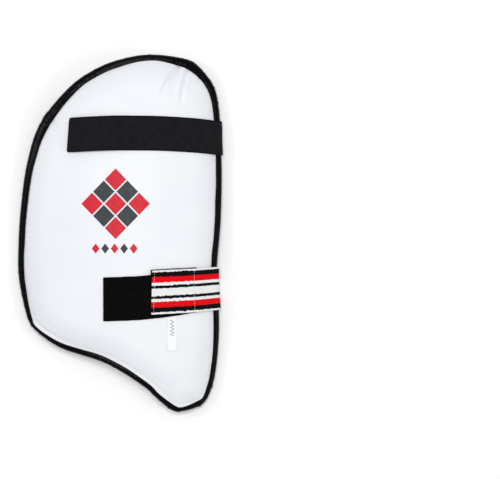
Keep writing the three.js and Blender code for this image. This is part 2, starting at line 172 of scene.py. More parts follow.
def besideStrap(v, strap, x, y):  # distance from its long sides, where its middle is seen at x, y
    return np.abs(v - float(unbend(x, y)[1])) - strap["width"] / 2


def crossing(v):  # where the outline crosses height v, left and right
    p, q = edge, np.roll(edge, -1, 0)
    cut = (p[:, 1] <= v) != (q[:, 1] <= v)
    ends = p[cut, 0] + (v - p[cut, 1]) / (q[cut, 1] - p[cut, 1]) * (q[cut, 0] - p[cut, 0])
    return ends.min(), ends.max()


# Helpers for meshes

def deselect():
    for o in bpy.context.selected_objects:
        o.select_set(False)


def activate(o):
    deselect()
    o.select_set(True)
    bpy.context.view_layer.objects.active = o


def applyModifier(o, kind, **values):
    activate(o)
    m = o.modifiers.new("shape", kind)
    for key, value in values.items():
        setattr(m, key, value)
    bpy.ops.object.modifier_apply(modifier=m.name)


def roundOff(o, width, segments):
    applyModifier(o, "BEVEL", width=width, segments=segments, limit_method="ANGLE",
                  angle_limit=math.radians(60))


def outwards(o):
    activate(o)
    bpy.ops.object.mode_set(mode="EDIT")
    bpy.ops.mesh.select_all(action="SELECT")
    bpy.ops.mesh.normals_make_consistent(inside=False)
    bpy.ops.object.mode_set(mode="OBJECT")
    bpy.ops.object.shade_smooth()


def coords(o):
    out = np.empty(len(o.data.vertices) * 3)
    o.data.vertices.foreach_get("co", out)
    return out.reshape(-1, 3)


def setCoords(o, places):
    o.data.vertices.foreach_set("co", np.asarray(places, float).ravel())
    o.data.update()


def edgesOf(o):
    out = np.empty(len(o.data.edges) * 2, int)
    o.data.edges.foreach_get("vertices", out)
    return out.reshape(-1, 2)


def relax(values, edges, mask, times):  # evens out values over the mesh where mask is 1
    count = np.bincount(edges.ravel(), minlength=len(values))[:, None]
    for _ in range(times):
        total = np.zeros_like(values)
        for c in range(values.shape[1]):
            total[:, c] = (np.bincount(edges[:, 0], values[edges[:, 1], c], len(values))
                           + np.bincount(edges[:, 1], values[edges[:, 0], c], len(values)))
        values = values + mask[:, None] * 0.6 * (total / np.maximum(count, 1) - values)
    return values


def ripple(s, waves, seed):  # waves round the edge that meet themselves, between about -1 and 1
    dice = np.random.default_rng(seed)
    total = np.zeros_like(s)
    for wave in waves:
        turns = max(1, round(perimeter / wave))
        total += dice.uniform(0.5, 1) * np.sin(2 * math.pi * turns * s / perimeter + dice.uniform(0, 6.28))
    return total / (0.75 * len(waves))


def softNoise(u, v, size, seed):  # smooth bumps about that many millimetres apart, between about -1 and 1
    dice = np.random.default_rng(seed)
    total = np.zeros_like(u)
    for _ in range(12):
        turn = dice.uniform(0, math.pi)
        wave = size * dice.uniform(0.7, 1.6)
        along = u * math.cos(turn) + v * math.sin(turn)
        total += np.sin(2 * math.pi * along / wave + dice.uniform(0, 6.28))
    return total / 5


def flatStrip(name, length, width, thick, columns, rowCount, rounding):
    deselect()
    bpy.ops.mesh.primitive_grid_add(x_subdivisions=columns, y_subdivisions=rowCount, size=1)
    o = bpy.context.object
    o.name = o.data.name = name
    bpy.ops.object.mode_set(mode="EDIT")
    bpy.ops.mesh.select_all(action="SELECT")
    bpy.ops.transform.resize(value=(length, width, 1))
    bpy.ops.transform.translate(value=(length / 2, 0, 0))
    bpy.ops.object.mode_set(mode="OBJECT")
    applyModifier(o, "SOLIDIFY", thickness=thick, offset=0)
    roundOff(o, rounding, 3)
    return o


def place(o, points):  # puts a piece that was modelled flat where it belongs, in metres
    setCoords(o, points * mm)
    outwards(o)


# Sewing thread: one stitch is modelled once, and copied along a seam

stitch = {"segments": 6, "rings": 5, "dip": 0.35}


def stitches(name, points, ups, ahead, length, radius, material):
    deselect()
    bpy.ops.mesh.primitive_uv_sphere_add(segments=stitch["segments"], ring_count=stitch["rings"], radius=1)
    o = bpy.context.object
    o.name = o.data.name = name
    bpy.ops.object.mode_set(mode="EDIT")
    bpy.ops.mesh.select_all(action="SELECT")
    bpy.ops.transform.resize(value=(length / 2, radius, radius))
    bpy.ops.object.mode_set(mode="OBJECT")
    one = coords(o)
    one[:, 2] -= stitch["dip"] * radius * (2 * one[:, 0] / length) ** 2  # its ends dip into the cloth
    faces = [list(f.vertices) for f in o.data.polygons]
    ahead = ahead / np.linalg.norm(ahead, axis=1, keepdims=True)
    side = np.cross(ups, ahead)
    side /= np.linalg.norm(side, axis=1, keepdims=True)
    ups = np.cross(ahead, side)
    sewn = (points[:, None] + one[None, :, :1] * ahead[:, None] + one[None, :, 1:2] * side[:, None]
            + one[None, :, 2:] * ups[:, None]).reshape(-1, 3) * mm
    copied = [[i + k * len(one) for i in f] for k in range(len(points)) for f in faces]
    mesh = bpy.data.meshes.new(name)
    mesh.from_pydata([tuple(p) for p in sewn], [], copied)
    o.data = mesh
    o.data.materials.append(material)
    outwards(o)
    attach(o, "root")
    return o


# Materials

def newMaterial(name, colour, roughness=0.6, **more):
    m = bpy.data.materials.new(name)
    m.use_nodes = True
    m.diffuse_color = (*colour, 1)
    shader = m.node_tree.nodes["Principled BSDF"]
    shader.inputs["Base Color"].default_value = (*colour, 1)
    shader.inputs["Roughness"].default_value = roughness
    for key, value in more.items():
        shader.inputs[key.replace("_", " ")].default_value = value
    return m, m.node_tree, shader


def node(tree, kind, inputs=None, **settings):
    n = tree.nodes.new("ShaderNode" + kind)
    for key, value in settings.items():
        setattr(n, key, value)
    for key, value in (inputs or {}).items():
        if isinstance(value, bpy.types.NodeSocket):
            tree.links.new(value, n.inputs[key])
        else:
            n.inputs[key].default_value = value
    return n


def calc(tree, operation, a, b=0.0, c=0.0):
    return node(tree, "Math", {0: a, 1: b, 2: c}, operation=operation).outputs[0]


def noise(tree, vector, scale, detail=2.0, roughness=0.5, stretch=None):
    if stretch:
        vector = node(tree, "Mapping", {"Vector": vector, "Scale": stretch}).outputs[0]
    return node(tree, "TexNoise", {"Vector": vector, "Scale": scale, "Detail": detail,
                                   "Roughness": roughness}).outputs["Fac"]


def spread(tree, value, low, high, toLow=0.0, toHigh=1.0):
    return node(tree, "MapRange", {"Value": value, "From Min": low, "From Max": high, "To Min": toLow,
                                   "To Max": toHigh}).outputs[0]


def blendColour(tree, share, a, b, blend="MIX"):
    n = node(tree, "Mix", data_type="RGBA", blend_type=blend)
    for key, value in ((0, share), (6, a), (7, b)):
        if isinstance(value, bpy.types.NodeSocket):
            tree.links.new(value, n.inputs[key])
        else:
            n.inputs[key].default_value = (*value, 1) if isinstance(value, tuple) else value
    return n.outputs[2]


def bump(tree, shader, *layers):  # layers of height, each with its depth in metres
    normal = None
    for height, depth in layers:
        inputs = {"Height": height, "Distance": depth, "Strength": 1.0}
        if normal:
            inputs["Normal"] = normal
        normal = node(tree, "Bump", inputs).outputs[0]
    tree.links.new(normal, shader.inputs["Normal"])


def objectPlace(tree):
    return node(tree, "TexCoord").outputs["Object"]


def uvPlace(tree):  # millimetres along and across a strip
    split = node(tree, "SeparateXYZ", {0: node(tree, "TexCoord").outputs["UV"]})
    return split.outputs[0], split.outputs[1]


def layUvs(o, flat, scale=1.0):  # the flat place of each vertex, in millimetres, as the UV map
    layer = o.data.uv_layers.active or o.data.uv_layers.new(name="flat")
    corner = np.empty(len(o.data.loops), int)
    o.data.loops.foreach_get("vertex_index", corner)
    layer.data.foreach_set("uv", (flat[corner, :2] * scale).astype(np.float32).ravel())


def whiteFaceMaterial():
    m, tree, shader = newMaterial("whiteFace", (0.83, 0.845, 0.875), 0.55, Coat_Weight=0.03,
                                  Coat_Roughness=0.35, Specular_IOR_Level=0.4)
    at = objectPlace(tree)
    tone = spread(tree, noise(tree, at, 14, 3), 0.3, 0.75)
    clean = blendColour(tree, tone, (0.775, 0.79, 0.83), (0.815, 0.83, 0.862))
    smudge = spread(tree, noise(tree, at, 55, 5, 0.7), 0.62, 0.8, 0.0, 0.12)
    tree.links.new(blendColour(tree, smudge, clean, (0.62, 0.625, 0.64)), shader.inputs["Base Color"])
    tree.links.new(spread(tree, noise(tree, at, 120, 4), 0.25, 0.8, 0.46, 0.6), shader.inputs["Roughness"])
    grain = node(tree, "TexVoronoi", {"Vector": at, "Scale": 1500.0}, feature="F1").outputs["Distance"]
    bump(tree, shader, (grain, 0.00005), (noise(tree, at, 3500, 2), 0.00002))
    return m


def cottonMaterial():
    m, tree, shader = newMaterial("brushedCotton", (0.86, 0.85, 0.81), 0.95, Sheen_Weight=0.25,
                                  Sheen_Roughness=0.6)
    at = objectPlace(tree)
    split = node(tree, "SeparateXYZ", {0: at})
    wobble = calc(tree, "MULTIPLY", noise(tree, at, 300, 2), 0.0012)
    warp = calc(tree, "SINE", calc(tree, "MULTIPLY", calc(tree, "ADD", split.outputs[0], wobble), 8400))
    weft = calc(tree, "SINE", calc(tree, "MULTIPLY", calc(tree, "ADD", split.outputs[1], wobble), 7600))
    weave = calc(tree, "MULTIPLY", warp, weft)
    fuzz = noise(tree, at, 1400, 5, 0.75)
    nap = noise(tree, at, 160, 4, 0.65)
    base = blendColour(tree, spread(tree, nap, 0.3, 0.72), (0.845, 0.83, 0.785), (0.90, 0.89, 0.855))
    seeds = spread(tree, noise(tree, at, 900, 1, 0.4), 0.79, 0.83)
    base = blendColour(tree, calc(tree, "MULTIPLY", seeds, 0.45), base, (0.36, 0.31, 0.24))
    worn = spread(tree, noise(tree, at, 9, 3), 0.42, 0.8, 0.0, 0.25)
    base = blendColour(tree, worn, base, (0.79, 0.775, 0.73))
    tree.links.new(base, shader.inputs["Base Color"])
    tree.links.new(spread(tree, fuzz, 0.2, 0.8, 0.85, 1.0), shader.inputs["Roughness"])
    bump(tree, shader, (weave, 0.00007), (fuzz, 0.00028), (nap, 0.0007))
    return m


def trimMaterial():
    m, tree, shader = newMaterial("blackTrim", (0.0015, 0.0015, 0.0025), 0.2, Specular_IOR_Level=0.085)
    along, across = uvPlace(tree)
    at = objectPlace(tree)
    flat = node(tree, "CombineXYZ", {0: along, 1: across}).outputs[0]
    creases = noise(tree, flat, 0.30, 2, 0.5, stretch=(1.6, 0.35, 1))
    grain = node(tree, "TexVoronoi", {"Vector": at, "Scale": 1300.0}, feature="F1").outputs["Distance"]
    scuff = spread(tree, noise(tree, at, 260, 6, 0.75), 0.6, 0.78)
    scuffed = calc(tree, "MULTIPLY", scuff, 0.35)
    tone = blendColour(tree, scuffed, (0.0008, 0.0008, 0.0016), (0.014, 0.014, 0.017))
    tree.links.new(tone, shader.inputs["Base Color"])
    tree.links.new(spread(tree, noise(tree, at, 180, 3), 0.3, 0.8, 0.15, 0.27), shader.inputs["Roughness"])
    bump(tree, shader, (grain, 0.000015), (creases, 0.0004))
    return m


def wovenHeight(tree, along, across, cord, pick):  # cords lengthwise, tied down by picks in a brick order
    column = calc(tree, "DIVIDE", across, cord)
    half = calc(tree, "MULTIPLY", calc(tree, "FLOOR", column), 0.5)
    row = calc(tree, "ADD", calc(tree, "DIVIDE", along, pick), half)
    round1 = calc(tree, "ABSOLUTE", calc(tree, "SINE", calc(tree, "MULTIPLY", column, math.pi)))
    round2 = calc(tree, "ABSOLUTE", calc(tree, "SINE", calc(tree, "MULTIPLY", row, math.pi)))
    return calc(tree, "MULTIPLY", calc(tree, "SQRT", round1), calc(tree, "ADD", round2, 0.6))


def charcoalElasticMaterial(width):
    m, tree, shader = newMaterial("charcoalElastic", (0.008, 0.008, 0.010), 0.85, Sheen_Weight=0.01,
                                  Specular_IOR_Level=0.08)
    along, across = uvPlace(tree)
    flat = node(tree, "CombineXYZ", {0: along, 1: across}).outputs[0]
    weave = wovenHeight(tree, along, across, 1.1, 1.5)
    fibre = noise(tree, flat, 3.2, 4, 0.7)
    patchy = noise(tree, flat, 0.13, 3, 0.6)
    # The weave's hollows are painted darker than its raised cords: painted shade. The same weave height
    # also drives the bump.
    litRaisedCords = spread(tree, weave, 0.2, 1.4)
    tone = blendColour(tree, litRaisedCords, (0.0035, 0.0035, 0.005), (0.012, 0.0118, 0.0145))
    tone = blendColour(tree, spread(tree, patchy, 0.4, 0.75, 0.0, 0.4), tone, (0.019, 0.0185, 0.022))
    lint = spread(tree, noise(tree, flat, 1.7, 2, 0.5), 0.76, 0.80, 0.0, 0.5)
    tone = blendColour(tree, lint, tone, (0.06, 0.06, 0.063))
    edgeBand = spread(tree, calc(tree, "ABSOLUTE", across), width / 2 - 1.6, width / 2 - 1.1)
    tone = blendColour(tree, calc(tree, "MULTIPLY", edgeBand, 0.7), tone, (0.002, 0.002, 0.003))
    tree.links.new(tone, shader.inputs["Base Color"])
    tree.links.new(spread(tree, fibre, 0.3, 0.7, 0.72, 0.95), shader.inputs["Roughness"])
    bump(tree, shader, (weave, 0.00018), (fibre, 0.00014), (edgeBand, 0.0001))
    return m


def stripedElasticMaterial(width, bands, sewnLength):  # its stripes are uneven where it is sewn to the tape
    m, tree, shader = newMaterial("stripedElastic", (0.8, 0.01, 0.02), 0.85, Specular_IOR_Level=0.07)
    along, across = uvPlace(tree)
    flat = node(tree, "CombineXYZ", {0: along, 1: across}).outputs[0]
    ragged = calc(tree, "SUBTRACT", noise(tree, flat, 0.30, 3, 0.65, stretch=(1.0, 0.35, 1)), 0.5)
    fine = calc(tree, "SUBTRACT", noise(tree, flat, 0.75, 1, 0.5, stretch=(1.0, 0.9, 1)), 0.5)
    slack = spread(tree, along, sewnLength - 2, sewnLength + 4, 3.3, 1.0)
    shift = calc(tree, "ADD", calc(tree, "MULTIPLY", ragged, slack), calc(tree, "MULTIPLY", fine, 1.8))
    line = calc(tree, "DIVIDE", calc(tree, "ADD", calc(tree, "ADD", across, shift), width / 2), width)
    ramp = node(tree, "ValToRGB", {0: line})
    ramp.color_ramp.interpolation = "CONSTANT"
    stops = ramp.color_ramp.elements
    while len(stops) < len(bands):
        stops.new(0.5)
    start = 0.0
    for stop, (share, colour) in zip(stops, bands):
        stop.position = start
        stop.color = (*colour, 1)
        start += share
    weave = wovenHeight(tree, along, across, 1.15, 1.4)
    fibre = noise(tree, flat, 3.0, 4, 0.7)
    # The stripes are darker in the weave's hollows (painted shade), times the fibres' own uneven tone.
    shade = spread(tree, weave, 0.1, 1.3, 0.87, 1.0)
    shade = calc(tree, "MULTIPLY", shade, spread(tree, fibre, 0.2, 0.8, 0.93, 1.06))
    grey = node(tree, "CombineColor", {0: shade, 1: shade, 2: shade}).outputs[0]
    tree.links.new(blendColour(tree, 1.0, ramp.outputs[0], grey, "MULTIPLY"), shader.inputs["Base Color"])
    tree.links.new(spread(tree, fibre, 0.3, 0.7, 0.68, 0.92), shader.inputs["Roughness"])
    bump(tree, shader, (weave, 0.00024), (fibre, 0.0001))
    return m


def loopMaterial(name, grain, depth):
    m, tree, shader = newMaterial(name, (0.002, 0.002, 0.0025), 0.95, Specular_IOR_Level=0.03)
    at = objectPlace(tree)
    loops = node(tree, "TexVoronoi", {"Vector": at, "Scale": grain}, feature="F1").outputs["Distance"]
    curl = noise(tree, at, grain * 0.45, 5, 0.75)
    # Some curls of the pile are painted lighter: painted highlights, as where single fibres catch the
    # light.
    curlHighlights = spread(tree, curl, 0.35, 0.8)
    tone = blendColour(tree, curlHighlights, (0.0008, 0.0008, 0.0012), (0.0085, 0.0085, 0.0095))
    tree.links.new(tone, shader.inputs["Base Color"])
    tree.links.new(spread(tree, curl, 0.3, 0.7, 0.85, 1.0), shader.inputs["Roughness"])
    bump(tree, shader, (loops, depth), (curl, depth))
    return m


def ribbonMaterial():  # white, with a woven zigzag on its upper half
    m, tree, shader = newMaterial("labelRibbon", (0.9, 0.905, 0.92), 0.45, Sheen_Weight=0.05)
    along, across = uvPlace(tree)
    flat = node(tree, "CombineXYZ", {0: along, 1: across}).outputs[0]
    threads = calc(tree, "SINE", calc(tree, "MULTIPLY", across, 18.0))
    tone = blendColour(tree, noise(tree, flat, 0.5, 3), (0.88, 0.885, 0.90), (0.95, 0.955, 0.965))
    turn = calc(tree, "SUBTRACT", calc(tree, "PINGPONG", along, 1.9), 0.95)
    apart = calc(tree, "ABSOLUTE", calc(tree, "SUBTRACT", calc(tree, "MULTIPLY", turn, 2.1), across))
    woven = calc(tree, "MULTIPLY", calc(tree, "LESS_THAN", apart, 0.75), calc(tree, "LESS_THAN", along, 21))
    woven = calc(tree, "MULTIPLY", woven, calc(tree, "GREATER_THAN", along, 3))
    tone = blendColour(tree, calc(tree, "MULTIPLY", woven, 0.8), tone, (0.07, 0.07, 0.08))
    tree.links.new(tone, shader.inputs["Base Color"])
    tree.links.new(spread(tree, noise(tree, flat, 2.0, 2), 0.3, 0.7, 0.34, 0.5), shader.inputs["Roughness"])
    bump(tree, shader, (threads, 0.00003))
    return m


def filmMaterial(name, dark, light):
    m, tree, shader = newMaterial(name, light, 0.5, Specular_IOR_Level=0.22)
    at = objectPlace(tree)
    tone = blendColour(tree, spread(tree, noise(tree, at, 90, 4, 0.6), 0.3, 0.7), dark, light)
    tree.links.new(tone, shader.inputs["Base Color"])
    tree.links.new(spread(tree, noise(tree, at, 240, 3), 0.3, 0.7, 0.42, 0.58), shader.inputs["Roughness"])
    bump(tree, shader, (noise(tree, at, 2600, 2), 0.00003))
    return m


def threadMaterial(name, dark, light):
    m, tree, shader = newMaterial(name, light, 0.6, Specular_IOR_Level=0.2)
    at = objectPlace(tree)
    tone = blendColour(tree, noise(tree, at, 2600, 3), dark, light)
    tree.links.new(tone, shader.inputs["Base Color"])
    twist = node(tree, "TexWave", {"Vector": at, "Scale": 900.0, "Distortion": 1.0}).outputs["Fac"]
    bump(tree, shader, (twist, 0.00004))
    return m


blackThread = threadMaterial("blackThread", (0.003, 0.003, 0.004), (0.013, 0.013, 0.015))
whiteThread = threadMaterial("whiteThread", (0.6, 0.6, 0.58), (0.82, 0.82, 0.8))

# The pad's two halves: rings in from the edge with a grid of even faces inside them, and the same again
# as an underside

padMesh = {
    "rings": [0.1, 0.5, 1.1, 1.9, 2.9, 4.0, 5.4, 7.0, 8.8],  # distances in from the panel's own edge
    "evenings": 150, "finerEvenings": 12,
    "least": 0.2,  # the skin's least height over the seam between the halves
}


def flatPanel(name):  # laid out flat, with 1 as height on the skin and -1 on the underside
    inside = alongEdge(evenLength, inward)
    n, last = evenPlaces, len(padMesh["rings"]) - 1
    verts = [(*p, 0) for inset in padMesh["rings"] for p in coarseEdge + inside * (edgeInset + inset)]
    faces = [(r * n + i, r * n + (i + 1) % n, (r + 1) * n + (i + 1) % n, (r + 1) * n + i)
             for r in range(last) for i in range(n)]
    mesh = bpy.data.meshes.new(name)
    mesh.from_pydata(verts, [], faces)
    o = bpy.data.objects.new(name, mesh)
    bpy.context.collection.objects.link(o)
    activate(o)
    bpy.ops.object.mode_set(mode="EDIT")
    bpy.ops.mesh.select_mode(type="EDGE")
    bpy.ops.mesh.select_all(action="DESELECT")
    bpy.ops.object.mode_set(mode="OBJECT")
    for e in mesh.edges:
        e.select = all(v >= last * n for v in e.vertices)
    bpy.ops.object.mode_set(mode="EDIT")
    bpy.ops.mesh.fill_grid(span=n // 4)
    bpy.ops.mesh.select_all(action="SELECT")
    bpy.ops.mesh.normals_make_consistent(inside=False)
    bpy.ops.object.mode_set(mode="OBJECT")
    evenOut(o, padMesh["evenings"])
    applyModifier(o, "SOLIDIFY", thickness=2, offset=0)
    return o


def evenOut(o, times):
    flat = coords(o)
    distance = nearestOnEdge(flat[:, 0], flat[:, 1])[0]
    free = ((flat[:, 2] >= 0) & (distance > edgeInset + padMesh["rings"][-1] + 0.05)).astype(float)
    flat[:, :2] = relax(flat[:, :2], edgesOf(o), free, times)
    setCoords(o, flat)


def subdivideSkin(o):
    flat = coords(o)
    activate(o)
    bpy.ops.object.mode_set(mode="EDIT")
    bpy.ops.mesh.select_mode(type="FACE")
    bpy.ops.mesh.select_all(action="DESELECT")
    bpy.ops.object.mode_set(mode="OBJECT")
    for f in o.data.polygons:
        f.select = all(flat[v, 2] > 0 for v in f.vertices)
    bpy.ops.object.mode_set(mode="EDIT")
    bpy.ops.mesh.subdivide(number_cuts=1)
    bpy.ops.object.mode_set(mode="OBJECT")


# The moulded face: foam under a smooth white skin, drawn in under the binding

squeezed = (4.5, 6.5)  # distances in from the edge, where the rim's hard edge turns into the soft skin
face = {
    "pucker": {"depth": 0.36, "waves": (8, 11.5, 17, 27), "level": 0.55, "swing": 0.75, "fade": 5.5},
    # height, size and seed of the unevenness, and the distances in from the edge between which it sets in
    "uneven": [(0.22, 62, 3, 12, 34), (0.07, 23, 8, 10, 24)],
    "creases": [  # points along each as seen from above, its depth and its width
        (((67, 189), (61, 178), (54, 166), (45, 151)), 3.2, 2.5),
        (((77, 183), (74, 172), (71, 160), (69, 142)), 2.9, 2.2),
        (((90, 176), (88, 164), (87, 152)), 0.4, 2.2),
        (((-90, -92), (-74, -104), (-58, -112)), 0.3, 2.5),
        (((38, -160), (50, -168), (58, -178)), 0.3, 2.4),
    ],
    "fold": {"samples": 160, "start": 0.1, "fade": 0.7, "ridge": 0.35, "ridgeAway": 1.9},
    "mouldLine": {  # where the foam's moulded flange ends
        "fromLip": 3.8, "depth": 0.6, "width": 1.0, "wander": 0.4, "faintest": 0.45,
        "from": rowSteps * 18 + 20, "to": rowSteps * 26,  # samples of the outline
        "setsIn": 20, "fades": 45,
    },
}
# The straps, patches and label that lie on the face: no part of the face rises under them
onFace = [((-60, 84), (116, 132)), ((-20, -104), (116, -36)), ((51, -134), (68, -90))]
besideIt = 9  # how far from them it may rise fully


def creaseDepth(u, v, points, depth, width):  # a soft fold along points seen on the face
    fold = face["fold"]
    xs, ys = np.array(points, float).T
    t = np.linspace(0, 1, fold["samples"])
    bow = np.linspace(0, 1, len(xs))
    cu, cv = layOn(np.interp(t, bow, xs), np.interp(t, bow, ys))
    apart = np.hypot(u[:, None] - cu, v[:, None] - cv)
    along = t[apart.argmin(1)] * (1 - fold["start"]) + fold["start"]
    fade = np.sin(np.clip(along, 0, 1) * math.pi) ** fold["fade"]
    d = apart.min(1) / width
    return depth * fade * (np.exp(-d ** 2) - fold["ridge"] * np.exp(-((d - fold["ridgeAway"]) ** 2)))


def mouldDepth(s, fromLip):
    line = face["mouldLine"]
    start, end = edgeLength[line["from"]], edgeLength[line["to"]]
    shown = smoothStep(s, start, start + line["setsIn"]) * (1 - smoothStep(s, end - line["fades"], end))
    strong = smoothStep(ripple(s, (70, 110), 2), -0.6, 0.5)
    shown = shown * (line["faintest"] + (1 - line["faintest"]) * strong)
    away = fromLip - line["fromLip"] - line["wander"] * ripple(s, (60, 90), 4)
    return line["depth"] * shown * np.exp(-(away / line["width"]) ** 2)


def unevenness(u, v, distance):
    return sum(height * softNoise(u, v, size, seed) * smoothStep(distance, start, end)
               for height, size, seed, start, end in face["uneven"])


def keptLow(u, v):
    free = np.ones_like(u)
    for (x0, y0), (x1, y1) in onFace:
        (u0, v0), (u1, v1) = layOn(np.array(x0), np.array(y0)), layOn(np.array(x1), np.array(y1))
        outside = np.maximum(np.maximum(u0 - u, u - u1), np.maximum(v0 - v, v - v1))
        free *= smoothStep(outside, 0, besideIt)
    return free


def shapeFace(o):
    flat = coords(o)
    u, v = flat[:, 0], flat[:, 1]
    skin = flat[:, 2] > 0
    distance, s = nearestOnEdge(u, v)
    faceReach = alongEdge(s, reach)[:, 0]
    fromLip = distance - faceReach
    pucker = face["pucker"]
    pulled = np.exp(-np.maximum(0, fromLip - 1) / pucker["fade"]) * smoothStep(distance, *squeezed)
    waves = pucker["level"] + pucker["swing"] * ripple(s, pucker["waves"], 5)
    relief = unevenness(u, v, distance) - pucker["depth"] * pulled * waves - mouldDepth(s, fromLip)
    for points, depth, width in face["creases"]:
        relief -= creaseDepth(u, v, points, depth, width)
    relief = np.where(relief > 0, relief * keptLow(u, v), relief)
    height = halfThickness(distance, form["face"]) + relief
    w = np.where(skin, np.maximum(height, padMesh["least"]), form["gap"] / 2)
    layUvs(o, flat, mm)
    place(o, bend(u, v, w))


padFace = flatPanel("padFace")
subdivideSkin(padFace)
evenOut(padFace, padMesh["finerEvenings"])
shapeFace(padFace)
padFace.data.materials.append(whiteFaceMaterial())
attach(padFace, "root")
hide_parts("front_panel")
print("face:", len(padFace.data.polygons), "faces")


# The back: brushed cotton over soft foam, blown up a little as cloth and held by its sewn rim

back = {
    "pressure": 4.0, "frames": 20, "spareCloth": -0.035,
    "held": 9.5, "free": 16,  # distances in from the edge, where the cloth is held and where it is free
    # What is kept of the cloth's slow swelling and of its wrinkles, and the most that it moves
    "swelling": 0.35, "wrinkles": 0.9, "mostMove": 2.6,
    "plump": {"height": 0.7, "from": 0.8, "full": 5, "fades": (12, 40)},
    "pucker": {"depth": 0.5, "waves": (9, 13, 19, 31), "level": 0.35, "swing": 0.8, "fade": 6.5},
    "uneven": [(0.5, 52, 21), (0.16, 17, 22)],  # height, size and seed
    "bed": {"rise": 0.62, "from": 10, "beside": (0.6, 5)},  # where a strap's sewn end presses it in
    "pressed": {"left": -40, "right": 70, "least": 0.15, "beside": (2, 12)},  # and where it billows less
    "slowRounds": 60, "finerRounds": 3,
}


def backHeight(u, v):
    distance, s = nearestOnEdge(u, v)
    backReach = alongEdge(s, reach)[:, 1]
    height = halfThickness(distance, form["back"])
    plump, pucker, bed = back["plump"], back["pucker"], back["bed"]
    risen = smoothStep(distance, backReach + plump["from"], backReach + plump["full"])
    height += plump["height"] * risen * (1 - smoothStep(distance, *plump["fades"]))
    pulled = np.exp(-np.maximum(0, distance - backReach - 1) / pucker["fade"])
    waves = pucker["level"] + pucker["swing"] * ripple(s, pucker["waves"], 15)
    height -= pucker["depth"] * pulled * smoothStep(distance, *squeezed) * waves
    for strap in webbing.values():
        low = form["edgeHalf"] - strap["thick"] - 2 * form["gap"]
        low = low + bed["rise"] * np.maximum(0, distance - bed["from"])
        pressed = 1 - smoothStep(besideStrap(v, strap, sewnX, strap["sewnY"]), *bed["beside"])
        height = np.where(u < 0, height + np.minimum(0, low - height) * pressed, height)
    return height, distance


def billow(o, flat):  # the cloth simulation: how far each point of the skin moves, in millimetres
    skin = flat[:, 2] > 0
    height, distance = backHeight(flat[:, 0], flat[:, 1])
    w = np.where(skin, -height, -form["gap"] / 2)
    still = bend(flat[:, 0], flat[:, 1], w) * mm
    pad = o.copy()
    pad.data = o.data.copy()
    bpy.context.collection.objects.link(pad)
    setCoords(pad, still)
    outwards(pad)
    held = pad.vertex_groups.new(name="held")
    rim = (~skin) | (distance < back["held"])
    for i in np.flatnonzero(rim):
        held.add([int(i)], 1.0, "REPLACE")
    for i in np.flatnonzero(~rim & (distance < back["free"])):
        share = (back["free"] - distance[i]) / (back["free"] - back["held"])
        held.add([int(i)], float(share), "REPLACE")
    activate(pad)
    m = pad.modifiers.new("cloth", "CLOTH")
    m.settings.quality = 6
    m.settings.mass = 0.25
    m.settings.tension_stiffness = m.settings.compression_stiffness = 12
    m.settings.shear_stiffness = 6
    m.settings.bending_stiffness = 0.35
    m.settings.air_damping = 3
    m.settings.vertex_group_mass = "held"
    m.settings.shrink_min = back["spareCloth"]
    m.settings.use_pressure = True
    m.settings.uniform_pressure_force = back["pressure"]
    m.settings.effector_weights.gravity = 0
    m.collision_settings.use_collision = False
    m.collision_settings.use_self_collision = False
    scene = bpy.context.scene
    scene.frame_start, scene.frame_end = 1, back["frames"]
    m.point_cache.frame_start, m.point_cache.frame_end = 1, back["frames"]
    for f in range(1, back["frames"] + 1):
        scene.frame_set(f)
    seen = pad.evaluated_get(bpy.context.evaluated_depsgraph_get())
    moved = np.empty(len(seen.data.vertices) * 3)
    seen.data.vertices.foreach_get("co", moved)
    normals = np.empty(len(pad.data.vertices) * 3)
    pad.data.vertices.foreach_get("normal", normals)
    scene.frame_set(1)
    move = ((moved.reshape(-1, 3) - still) * normals.reshape(-1, 3)).sum(1) / mm
    bpy.data.objects.remove(pad)
    move[rim] = 0
    print("cloth moved", round(float(move.min()), 2), "to", round(float(move.max()), 2), "mm")
    return move


def shapeBack(o):
    flat = coords(o)
    edges = edgesOf(o)
    skin = flat[:, 2] > 0
    move = billow(o, flat)
    slow = relax(move[:, None], edges, skin.astype(float), back["slowRounds"])[:, 0]
    move = back["swelling"] * slow + back["wrinkles"] * (move - slow)
    most = back["mostMove"]
    move = most * np.tanh(move / most)
    layer = o.data.attributes.new("billow", "FLOAT", "POINT")
    layer.data.foreach_set("value", move.astype(np.float32))
    subdivideSkin(o)
    flat = coords(o)
    skin = flat[:, 2] > 0
    move = np.empty(len(flat), np.float32)
    o.data.attributes["billow"].data.foreach_get("value", move)
    move = move.astype(float)[:, None]
    move = relax(move, edgesOf(o), skin.astype(float), back["finerRounds"])[:, 0]
    u, v = flat[:, 0], flat[:, 1]
    height, distance = backHeight(u, v)
    free = smoothStep(distance, 9, 20)
    pressed = back["pressed"]
    near = (u < pressed["left"]) | (u > pressed["right"])
    for strap in webbing.values():
        beside = smoothStep(besideStrap(v, strap, sewnX, strap["sewnY"]), *pressed["beside"])
        free = np.where(near, free * (pressed["least"] + (1 - pressed["least"]) * beside), free)
    height += free * (move + sum(high * softNoise(u, v, size, seed) for high, size, seed in back["uneven"]))
    w = np.where(skin, -np.maximum(height, padMesh["least"]), -form["gap"] / 2)
    layUvs(o, flat, mm)
    place(o, bend(u, v, w))


padBack = flatPanel("padBack")
shapeBack(padBack)
padBack.data.materials.append(cottonMaterial())
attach(padBack, "root")
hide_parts("back_panel")
print("back:", len(padBack.data.polygons), "faces")


# The binding: one length of glossy tape folded over the edge, its end lapped over its start

